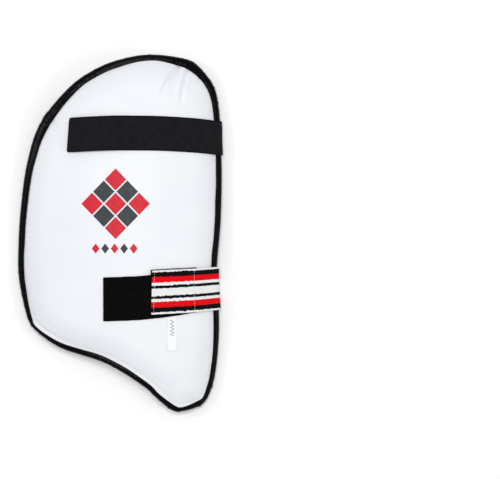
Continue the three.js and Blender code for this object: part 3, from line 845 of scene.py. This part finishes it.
tape = {
    "startRow": 30.15,  # where the lap is, counted in rows of the outline
    "lap": 9.0, "thick": 1.15, "width": 20.0,
    "lapUnder": 0.26, "lapOver": 0.62,  # how far the start is pressed in and the end lies over it
    "stitchLength": 3.0, "stitchGap": 0.9, "thread": 0.24,
    "seamIn": 1.5, "seamWidth": 0.7, "seamDepth": 0.16,
    "lip": {"droop": 0.2, "outerDroop": 0.4, "width": 4.4},
    "uneven": [(0.25, (31, 47, 80), 6), (0.45, (23, 37, 90), 7)],  # of its reach over face and back
    "wrinkles": {"waves": (4.6, 6.3, 8.9, 13), "seed": 12, "height": 0.4, "atBends": 0.45},
}
tapeStart = float(np.interp(tape["startRow"] * rowSteps, np.arange(len(edgeLength)), edgeLength))
tapeLength = perimeter + tape["lap"]


def keptClear(u, v):  # 0 where a strap wraps the edge
    free = np.ones_like(u)
    for strap in webbing.values():
        beside = besideStrap(v, strap, wrapX, strap["wrapY"])
        free = np.where(u > 0, free * smoothStep(beside, 1, 10), free)
    return free


def onTape(x, t, z):  # x along the tape, t across it from face to back, z out from its middle layer
    s = tapeStart + x
    at = alongEdge(s, edge)
    inn = alongEdge(s, inward)
    inn /= np.linalg.norm(inn, axis=-1, keepdims=True)
    middle = tapeRound - form["tapeWall"] / 2
    reaches = [r + height * ripple(s, waves, seed)
               for r, (height, waves, seed) in zip(alongEdge(s, reach).T, tape["uneven"])]
    faceTurn, backTurn = (np.arccos(np.clip((tapeRound - r) / tapeRound, 0, 1)) for r in reaches)
    faceFlat, backFlat = (np.maximum(0, r - tapeRound) for r in reaches)
    total = faceFlat + middle * (faceTurn + backTurn) + backFlat
    run = t * total
    turn = np.clip((run - faceFlat) / middle, 0, faceTurn + backTurn)
    angle = faceTurn - turn
    beyond = np.maximum(0, faceFlat - run) + np.maximum(0, run - (total - backFlat))
    lipAway = np.minimum(run, total - run)
    under = np.clip((tape["lap"] - x) / 2 + 0.5, 0, 1)  # the start is pressed thin under the end
    over = smoothStep(x, tapeLength - tape["lap"] - 5, tapeLength - tape["lap"] + 1)
    radius = middle + z * (1 - 0.5 * under) - tape["lapUnder"] * under + tape["lapOver"] * over
    outer = smoothStep(z, -0.2, 0.5)
    lip, wrinkles = tape["lip"], tape["wrinkles"]
    droop = lip["droop"] + lip["outerDroop"] * outer
    radius -= droop * (1 - smoothStep(lipAway, 0, lip["width"])) * (1 - over)
    radius -= tape["seamDepth"] * outer * np.exp(-((lipAway - tape["seamIn"]) / tape["seamWidth"]) ** 2)
    sharp = 0.35 + bending(s)
    wrinkle = ripple(s + 1.6 * np.sin(angle * 1.7), wrinkles["waves"], wrinkles["seed"])
    wrinkle = np.maximum(0, wrinkle) ** 1.3 * sharp * np.sin(np.clip(run / total, 0, 1) * math.pi) ** 0.6
    high = wrinkles["height"] + wrinkles["atBends"] * bending(s)
    radius += outer * high * wrinkle * keptClear(at[:, 0], at[:, 1])
    reachIn = roundCentre - radius * np.cos(angle) + beyond
    swell = np.where(angle > 0, halfThickness(reachIn, form["face"]), -halfThickness(reachIn, form["back"]))
    height = radius * np.sin(angle) + (beyond > 0) * (swell - np.sign(angle) * form["edgeHalf"])
    return bend(at[:, 0] + inn[:, 0] * reachIn, at[:, 1] + inn[:, 1] * reachIn, height), total


turning = np.abs(np.sum(np.roll(alongEdge(evenLength, inward), 4, 0)
                        * np.roll(alongEdge(evenLength, heading), -4, 0), 1))
turning = sum(np.roll(turning, k) for k in (4, 2, 0, -2, -4)) / 5


def bending(s):  # how sharply the edge turns there
    return np.clip(np.interp(s, evenLength, turning, period=perimeter) / 0.35, 0, 1)


edgeBinding = flatStrip("edgeBinding", tapeLength, tape["width"], tape["thick"], 760, 22, 0.42)
flat = coords(edgeBinding)
layUvs(edgeBinding, flat)
place(edgeBinding, onTape(flat[:, 0], np.clip(flat[:, 1] / tape["width"] + 0.5, 0, 1), flat[:, 2])[0])
edgeBinding.data.materials.append(trimMaterial())
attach(edgeBinding, "root")
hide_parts("edge_binding")

for side, name in ((0, "bindingStitchesFace"), (1, "bindingStitchesBack")):
    step = tape["stitchLength"] + tape["stitchGap"]
    x = np.arange(tape["lap"] + 2, tapeLength - 2, step)
    total = onTape(x, np.full_like(x, 0.5), np.zeros_like(x))[1]
    t = tape["seamIn"] / total if side == 0 else 1 - tape["seamIn"] / total
    z = np.full_like(x, tape["thick"] / 2 - 0.08)
    points, ahead = onTape(x, t, z)[0], onTape(x + 0.5, t, z)[0] - onTape(x - 0.5, t, z)[0]
    ups = points - onTape(x, t, z - 0.5)[0]
    keep = keptClear(*alongEdge(tapeStart + x, edge).T) > 0.02
    thread = stitches(name, points[keep], ups[keep], ahead[keep], tape["stitchLength"], tape["thread"],
                      blackThread)
print("binding and", int(keep.sum()), "stitches a side")


# The straps: one line along the middle of the webbing's thickness for each row across its width

upper = {
    **webbing["upper"], "freeX": -55, "freeY": 107.8, "arch": 2.7, "lean": 0.07, "corner": 2.6,
    "tape": {"start": 1.5, "length": 46, "up": 0, "width": 33, "thick": 1.2},
    "patch": {"left": -52, "right": 4, "leftY": 108, "rightY": 109.5, "sag": 0, "width": 34, "thick": 1.4},
}
lower = {
    **webbing["lower"], "freeX": 36.4, "freeY": -66.1, "arch": 0, "lean": 0.02, "corner": 0.8,
    "tape": {"start": -0.9, "length": 50, "up": 0.9, "width": 48.5, "thick": 1.2},
    "patch": {"left": -16.7, "right": 88, "leftY": -73.7, "rightY": -63.7, "sag": 2.3, "width": 48.5,
              "thick": 1.4},
}
settle = {"fromWrap": 26, "toBinding": 34, "mouthInset": 10, "endInset": 4}
# The seams that hold the hook tape: in from the strap's end and sides, and back from the tape's far end
sewing = {
    "fromEnd": 2.6, "fromSide": 2.4, "back": 2, "depth": 0.26, "width": 0.8,
    "stitch": 2.2, "space": 0.7, "thread": 0.2,
}
steps = {"face": 150, "wrap": 22, "down": 18, "flat": 44, "up": 20}


def tautOver(points):  # a tight band over points in order round a convex form, clockwise in x and z
    kept = []
    for p in points:
        while len(kept) > 1:
            a, b = kept[-2], kept[-1]
            if (b[0] - a[0]) * (p[2] - b[2]) - (b[2] - a[2]) * (p[0] - b[0]) < 0:
                break
            kept.pop()
        kept.append(p)
    return np.array(kept)


def evenly(points, count):
    length = np.concatenate(([0], np.cumsum(np.linalg.norm(np.diff(points, axis=0), axis=1))))
    at = np.linspace(0, length[-1], count + 1)
    return np.stack([np.interp(at, length, column) for column in points.T], 1)


def outOf(line):  # square to a line in x and z, out on its left
    before, after = np.roll(line, 1, 0), np.roll(line, -1, 0)
    before[0], after[-1] = line[0], line[-1]
    out = np.stack((before[:, 2] - after[:, 2], np.zeros(len(line)), after[:, 0] - before[:, 0]), 1)
    return out / np.linalg.norm(out, axis=1, keepdims=True)


def bezier(points, count):
    t = np.linspace(0, 1, count + 1)[:, None]
    points = [np.asarray(p, float) for p in points]
    while len(points) > 1:
        points = [a * (1 - t) + b * t for a, b in zip(points, points[1:])]
    return points[0]


def inFromLeft(v, distance):
    u = crossing(v)[0] + distance
    for _ in range(8):
        u += distance - float(nearestOnEdge(u, v)[0])
    return u


def acrossFace(strap, across, wrapU, wrapV, centre):  # from the free end over the tapes to the right edge
    hook, pile = strap["tape"], strap["patch"]
    freeU, freeV = (float(q) for q in layOn(strap["freeX"], strap["freeY"]))
    hookEnd = float(layOn(strap["freeX"] + hook["start"] + hook["length"] + 1.5, strap["freeY"])[0])
    pileEnd = float(layOn(pile["right"] + 1.5, pile["rightY"])[0])
    t = np.linspace(0, 1, 220)
    u = freeU + strap["lean"] * across + (wrapU - form["face"]["rim"] - freeU - strap["lean"] * across) * t
    v = freeV + across + (wrapV - freeV - across) * t + strap["arch"] * np.sin(t * math.pi)
    over = (u < hookEnd) * (hook["thick"] + form["gap"]) + (u < pileEnd) * (pile["thick"] + form["gap"])
    facePoints = bend(u, v, faceHeight(u, v) + over)
    angle = np.radians(110 - 2 * np.arange(101))
    roundPoints = centre + tapeRound * np.stack((np.cos(angle), 0 * angle, np.sin(angle)), 1)
    before = facePoints[facePoints[:, 0] < roundPoints[0, 0]]
    taut = tautOver(np.concatenate((before, roundPoints)))
    onRound = np.isin(taut[:, 0], roundPoints[:, 0]) & (taut[:, 0] > roundPoints[0, 0] - 0.01)
    first = int(np.flatnonzero(onRound)[0])
    line = evenly(taut[:first + 1], steps["face"])
    for _ in range(6):  # webbing is stiff: it rounds off the steps at the ends of the tapes under it
        line[1:-1, 2] = np.maximum(line[1:-1, 2], (line[:-2, 2] + line[2:, 2]) / 2)
    line = line + outOf(line) * (form["gap"] + strap["thick"] / 2)
    return line, math.atan2(taut[first][2] - centre[2], taut[first][0] - centre[0])


def behindPad(strap, across, start):  # down from the edge, along the table, and up to the sewn end
    floor = strap["thick"] / 2
    sewnV = float(unbend(sewnX, strap["sewnY"])[1]) + across
    depth = strap["thick"] / 2 + form["gap"] - form["edgeHalf"]
    end = bend(inFromLeft(sewnV, settle["endInset"]), sewnV, depth)
    mouth = bend(inFromLeft(sewnV, settle["mouthInset"]), sewnV, depth)
    down = bezier([start, start - (settle["fromWrap"] / 2, 0, 0),
                   (start[0] - settle["fromWrap"] / 2, start[1], floor),
                   (start[0] - settle["fromWrap"], start[1], floor)], steps["down"])
    landing = np.array((mouth[0] + settle["toBinding"], mouth[1], floor))
    level = down[-1] + (landing - down[-1]) * np.linspace(0, 1, steps["flat"] + 1)[:, None]
    up = bezier([landing, (mouth[0] + settle["toBinding"] / 2, mouth[1], floor), mouth], steps["up"])
    line = np.concatenate((down[1:], level[1:], up[1:]))
    line[:, 1] = start[1] + (mouth[1] - start[1]) * (start[0] - line[:, 0]) / (start[0] - mouth[0])
    tuck = mouth + (end - mouth) * np.array([0.34, 0.67, 1])[:, None]
    return np.concatenate((line, tuck))


def strapLine(strap, across):
    wrapV = float(unbend(wrapX, strap["wrapY"])[1]) + across
    wrapU = crossing(wrapV)[1]
    centre = bend(wrapU - roundCentre, wrapV, 0)
    overFace, touch = acrossFace(strap, across, wrapU, wrapV, centre)
    angle = np.linspace(touch, -math.pi / 2, steps["wrap"] + 1)
    radius = tapeRound + (form["gap"] + strap["thick"] / 2)
    overEdge = centre + radius * np.stack((np.cos(angle), 0 * angle, np.sin(angle)), 1)
    return np.concatenate((overFace[:-1], overEdge, behindPad(strap, across, overEdge[-1])))


def makeStrap(name, strap, material, wobble):
    across = np.linspace(-0.5, 0.5, 15) * strap["width"]
    lines = np.array([strapLine(strap, a) for a in across])
    outs = np.array([outOf(line) for line in lines])
    middle = lines[len(across) // 2]
    length = np.concatenate(([0], np.cumsum(np.linalg.norm(np.diff(middle, axis=0), axis=1))))
    o = flatStrip(name, length[-1], strap["width"], strap["thick"], 330, 18, 0.45 * strap["thick"])
    shape = coords(o)
    layUvs(o, shape)
    x, y, z = shape.T
    edgeShare = np.abs(y) / (strap["width"] / 2)
    y = y + np.sign(y) * edgeShare ** 8 * wobble * np.sin(x / 1.9 + 2 * np.sin(x / 13)) * 0.5
    pastCorner = np.clip((np.abs(y) - strap["width"] / 2 + strap["corner"]) / strap["corner"], 0, 1)
    x = x + strap["corner"] * (1 - np.sqrt(1 - 0.96 * pastCorner ** 2)) * np.clip(1 - x / 9, 0, 1)

    def cell(px, py):  # the nearest line and place on it, and the shares of the next ones
        column = np.interp(px, length, np.arange(len(length)))
        row = np.clip((py / strap["width"] + 0.5) * (len(across) - 1), 0, len(across) - 1.0001)
        r, c = row.astype(int), np.minimum(column.astype(int), len(length) - 2)
        return r, c, (row - r)[:, None], (column - c)[:, None]

    def between(grid, r, c, fr, fc):
        near = grid[r, c] * (1 - fc) + grid[r, c + 1] * fc
        far = grid[r + 1, c] * (1 - fc) + grid[r + 1, c + 1] * fc
        return near * (1 - fr) + far * fr

    def on(px, py, pz):
        r, c, fr, fc = cell(px, py)
        return between(lines, r, c, fr, fc) + outs[r, c] * pz[:, None]

    here = cell(x, y)
    out = between(outs, *here)
    sewn = strap["tape"]["length"] - sewing["back"]
    seams = np.minimum(np.abs(x - sewing["fromEnd"]), np.abs(x - sewn))
    inside = (x < sewn + 3).astype(float)
    sides = np.abs(np.abs(y) - strap["width"] / 2 + sewing["fromSide"])
    seamAway = np.minimum(seams, np.where(inside > 0, sides, np.inf))
    drawnIn = sewing["depth"] * np.exp(-(seamAway / sewing["width"]) ** 2)
    top = smoothStep(z, 0, strap["thick"] / 2)
    lump = softNoise(x, y, 9, 31) * 0.16 * (1 - smoothStep(x, sewn, sewn + 12))
    lump += 0.1 * softNoise(x, y * 0.4, 26, 33) * smoothStep(x, sewn, sewn + 12)
    over = x < length[steps["face"]]
    z = z + np.where(over, np.maximum(lump, 0), 0) - drawnIn * top * inside
    points = between(lines, *here) + out / np.linalg.norm(out, axis=1, keepdims=True) * z[:, None]
    points[:, 2] = np.maximum(points[:, 2], 0)
    place(o, points)
    o.data.materials.append(material)
    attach(o, "root")
    return o, on


def seamAlong(on, name, path, length, height, material):
    a, b = np.array(path, float)
    count = max(2, int(np.linalg.norm(b - a) / (length + sewing["space"])))
    t = (np.arange(count) + 0.5) / count
    px, py = (a + (b - a) * t[:, None]).T
    ahead = (b - a) / np.linalg.norm(b - a) * 0.4
    pz = np.full(count, height)
    points = on(px, py, pz)
    forward = on(px + ahead[0], py + ahead[1], pz) - on(px - ahead[0], py - ahead[1], pz)
    ups = on(px, py, pz + 0.5) - on(px, py, pz - 0.5)
    return stitches(name, points, ups, forward, length, sewing["thread"], material)


upperStrap, onUpper = makeStrap("upperStrap", upper, charcoalElasticMaterial(upper["width"]), 0.12)
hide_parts("upper_strap")

red, white, black = (0.86, 0.004, 0.010), (0.93, 0.93, 0.94), (0.004, 0.004, 0.005)
stripes = [(0.043, white), (0.112, black), (0.130, red), (0.066, white), (0.066, black), (0.166, white),
           (0.066, black), (0.066, white), (0.130, red), (0.112, black), (0.043, white)]
lowerStrap, onLower = makeStrap("lowerStrap", lower, stripedElasticMaterial(
    lower["width"], stripes, lower["tape"]["length"]), 0.3)
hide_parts("lower_strap")

for strap, on, name, material in ((upper, onUpper, "upperStrapSeam", blackThread),
                                  (lower, onLower, "lowerStrapSeam", whiteThread)):
    near, far = sewing["fromEnd"], strap["tape"]["length"] - sewing["back"]
    wide, top = strap["width"] / 2 - sewing["fromSide"], strap["thick"] / 2 - 0.18
    runs = [((near, -wide), (near, wide)), ((far, -wide), (far, wide))]
    if strap is upper:
        runs += [((near, wide), (far, wide)), ((near, -wide), (far, -wide))]
    for i, run in enumerate(runs):
        thread = seamAlong(on, f"{name}{i + 1}", run, sewing["stitch"], top, material)
print("straps sewn")


# Flat pieces on the face, modelled flat and laid on it

flatSeam = {"in": 1.8, "width": 0.7, "depth": 0.55, "stitch": 2.3}


def onFacePiece(piece, under):
    def on(x, y, z):
        t = np.clip(x / (piece["right"] - piece["left"]), -0.05, 1.05)
        seenX = piece["left"] + (piece["right"] - piece["left"]) * t
        seenY = piece["leftY"] + (piece["rightY"] - piece["leftY"]) * t - piece["sag"] * np.sin(t * math.pi)
        u, v = layOn(seenX, seenY)
        return bend(u, v + y, faceHeight(u, v + y) + form["gap"] + under + z)
    return on


def makeFacePiece(name, piece, under, material, columns, rowCount, sink=0.0):
    length = piece["right"] - piece["left"]
    o = flatStrip(name, length, piece["width"], piece["thick"], columns, rowCount, 0.4 * piece["thick"])
    shape = coords(o)
    layUvs(o, shape)
    x, y, z = shape.T
    z = z + piece["thick"] / 2
    border = np.minimum(np.minimum(x, length - x), piece["width"] / 2 - np.abs(y))
    top = smoothStep(z, piece["thick"] * 0.4, piece["thick"] * 0.9)
    drawnIn = flatSeam["depth"] * np.exp(-((border - flatSeam["in"]) / flatSeam["width"]) ** 2)
    z = z - top * (drawnIn + 0.25 * (1 - smoothStep(border, 0, 1.6)))
    z = z + top * 0.07 * softNoise(x, y, 7, 41)
    z = np.where(z < 0.05, z - sink, z)
    on = onFacePiece(piece, under)
    place(o, on(x, y + 0.15 * softNoise(x, y, 14, 42) * (1 - smoothStep(border, 0, 2)), z))
    o.data.materials.append(material)
    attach(o, "root")
    return o, on


loopPile = loopMaterial("loopPile", 1100.0, 0.0004)
hookPile = loopMaterial("hookPile", 800.0, 0.0002)
upperPatch, onUpperPatch = makeFacePiece("upperLoopPatch", upper["patch"], 0, loopPile, 40, 24, 0.25)
lowerPatch, onLowerPatch = makeFacePiece("lowerLoopPatch", lower["patch"], 0, loopPile, 90, 42, 0.25)
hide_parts("upper_loop_patch")
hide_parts("lower_loop_patch")
for strap, name, solid in ((upper, "upperHookTape", "upper_hook_tape"),
                           (lower, "lowerHookTape", "lower_hook_tape")):
    hook = strap["tape"]
    slope = (strap["wrapY"] - strap["freeY"]) / (wrapX - strap["freeX"])
    left, leftY = strap["freeX"] + hook["start"], strap["freeY"] + hook["up"]
    right, rightY = left + hook["length"], leftY + slope * hook["length"]
    piece = {"left": left, "right": right, "leftY": leftY, "rightY": rightY, "sag": 0,
             "width": hook["width"], "thick": hook["thick"]}
    hookTape = makeFacePiece(name, piece, strap["patch"]["thick"] + form["gap"], hookPile, 44, 36)[0]
    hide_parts(solid)
for piece, on, name in ((upper["patch"], onUpperPatch, "upperPatchSeam"),
                        (lower["patch"], onLowerPatch, "lowerPatchSeam")):
    near, far = flatSeam["in"], piece["right"] - piece["left"] - flatSeam["in"]
    wide, top = piece["width"] / 2 - flatSeam["in"], piece["thick"] - 0.5
    corners = [(near, -wide), (far, -wide), (far, wide), (near, wide)]
    for i in range(4):
        run = (corners[i], corners[(i + 1) % 4])
        thread = seamAlong(on, f"{name}{i + 1}", run, flatSeam["stitch"], top, blackThread)

# The small label: a folded ribbon, sewn at its top end under the patch, its fold standing off a little
label = {"left": -93.4, "right": -130.8, "x": 59.2, "width": 9.4, "thick": 0.45, "off": 0.12, "stand": 0.5}
ribbonLength = label["left"] - label["right"]
ribbon = flatStrip("sizeLabel", ribbonLength, label["width"], label["thick"], 36, 8, 0.2)
shape = coords(ribbon)
layUvs(ribbon, shape)
x, y, z = shape.T
ends = smoothStep(x, 22, ribbonLength)
z = z + label["thick"] / 2 + label["stand"] * ends ** 1.5 + 0.16 * np.sin(x / 4.2) * smoothStep(x, 3, 10)
z = z + 0.3 * ends * (y / label["width"] * 2) ** 2 + 0.35 * np.exp(-((x - ribbonLength + 1.2) / 0.9) ** 2)
u, v = layOn(label["x"] + y, label["left"] - x)
place(ribbon, bend(u, v, faceHeight(u, v) + label["off"] + z))
ribbon.data.materials.append(ribbonMaterial())
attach(ribbon, "root")
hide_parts("size_label")
print("patches, tapes and label")


# The printed lozenges on the face: thin film in red and charcoal

motif = {
    "centre": (-3, 32), "half": (11.9, 12.3), "step": (13.0, 13.4), "film": 0.12, "rounding": 0.03,
    "small": {"y": -17.5, "xs": (-25, -14.5, -4, 6.5, 17), "half": (4.3, 5.6)},
}
redFilm = filmMaterial("redFilm", (0.56, 0.012, 0.03), (0.66, 0.012, 0.028))
charcoalFilm = filmMaterial("charcoalFilm", (0.030, 0.034, 0.037), (0.042, 0.048, 0.052))


def lozenge(name, x, y, half, material, cuts):
    deselect()
    bpy.ops.mesh.primitive_plane_add(size=2)
    o = bpy.context.object
    o.name = o.data.name = name
    bpy.ops.object.mode_set(mode="EDIT")
    bpy.ops.mesh.select_all(action="SELECT")
    bpy.ops.mesh.subdivide(number_cuts=cuts)
    bpy.ops.object.mode_set(mode="OBJECT")
    applyModifier(o, "SOLIDIFY", thickness=motif["film"], offset=0)
    roundOff(o, motif["rounding"], 2)
    a, b, z = coords(o).T
    u, v = layOn(x + half[0] * (a + b) / 2, y + half[1] * (a - b) / 2)
    lift = unevenness(u, v, nearestOnEdge(u, v)[0])
    lift = np.where(lift > 0, lift * keptLow(u, v), lift)
    place(o, bend(u, v, faceHeight(u, v) + lift + 0.03 + motif["film"] / 2 + z))
    o.data.materials.append(material)
    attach(o, "root")
    return o


(cx, cy), (stepX, stepY) = motif["centre"], motif["step"]
for i in range(3):
    for j in range(3):
        material = redFilm if (i + j) % 2 == 0 else charcoalFilm
        x, y = cx + (i - j) * stepX, cy + (2 - i - j) * stepY
        lozenge(f"printLozenge{i}{j}", x, y, motif["half"], material, 9)
for i, x in enumerate(motif["small"]["xs"]):
    material = charcoalFilm if i % 2 else redFilm
    lozenge(f"printSmall{i}", x, motif["small"]["y"], motif["small"]["half"], material, 4)
print("print laid")


# Floor, light and camera, as in the photograph: straight down on white, soft light from above

shot = {"height": 3.008, "x": 0.144782, "y": -0.006843, "lens": 193.3}
lights = [  # name, place, size, power, colour
    ("above", (0.05, 0.3, 2.3), 0.9, 25, (1.0, 0.995, 0.985)),
    ("left", (-1.9, 0.5, 1.7), 0.6, 8, (0.95, 0.97, 1.0)),
    ("right", (2.1, -0.5, 1.7), 0.6, 8, (1.0, 0.985, 0.97)),
]
deselect()
bpy.ops.mesh.primitive_plane_add(size=8, location=(0, 0, 0))
floor = bpy.context.object
floor.name = "floor"
bpy.ops.object.mode_set(mode="EDIT")
bpy.ops.mesh.select_all(action="SELECT")
bpy.ops.transform.translate(value=(0, 0, -0.0003))
bpy.ops.object.mode_set(mode="OBJECT")
paper, tree, shader = newMaterial("paleFloor", (0.96, 0.96, 0.96), 0.95, Specular_IOR_Level=0.1)
tone = blendColour(tree, noise(tree, objectPlace(tree), 3, 2), (0.955, 0.955, 0.96), (0.97, 0.97, 0.97))
tree.links.new(tone, shader.inputs["Base Color"])
floor.data.materials.append(paper)

for name, where, size, power, colour in lights:
    data = bpy.data.lights.new(name, "AREA")
    data.shape, data.size, data.energy, data.color = "DISK", size, power, colour
    lamp = bpy.data.objects.new(name, data)
    lamp.location = where
    aim = mathutils.Vector((0, 0, 0.02)) - lamp.location
    lamp.rotation_euler = aim.to_track_quat("-Z", "Y").to_euler()
    bpy.context.collection.objects.link(lamp)

world = bpy.data.worlds.new("studio")
bpy.context.scene.world = world
world.use_nodes = True
sky = world.node_tree.nodes["Background"]
sky.inputs["Color"].default_value = (0.98, 0.99, 1.0, 1)
sky.inputs["Strength"].default_value = 0.53
bpy.context.scene.view_settings.view_transform = "Standard"

lens = bpy.data.cameras.new("photo")
lens.lens, lens.sensor_width, lens.sensor_fit = shot["lens"], 36, "HORIZONTAL"
lens.clip_end = 50
camera = bpy.data.objects.new("photo", lens)
camera.location = (shot["x"], shot["y"], shot["height"])
bpy.context.collection.objects.link(camera)
bpy.context.scene.camera = camera

bpy.context.view_layer.update()
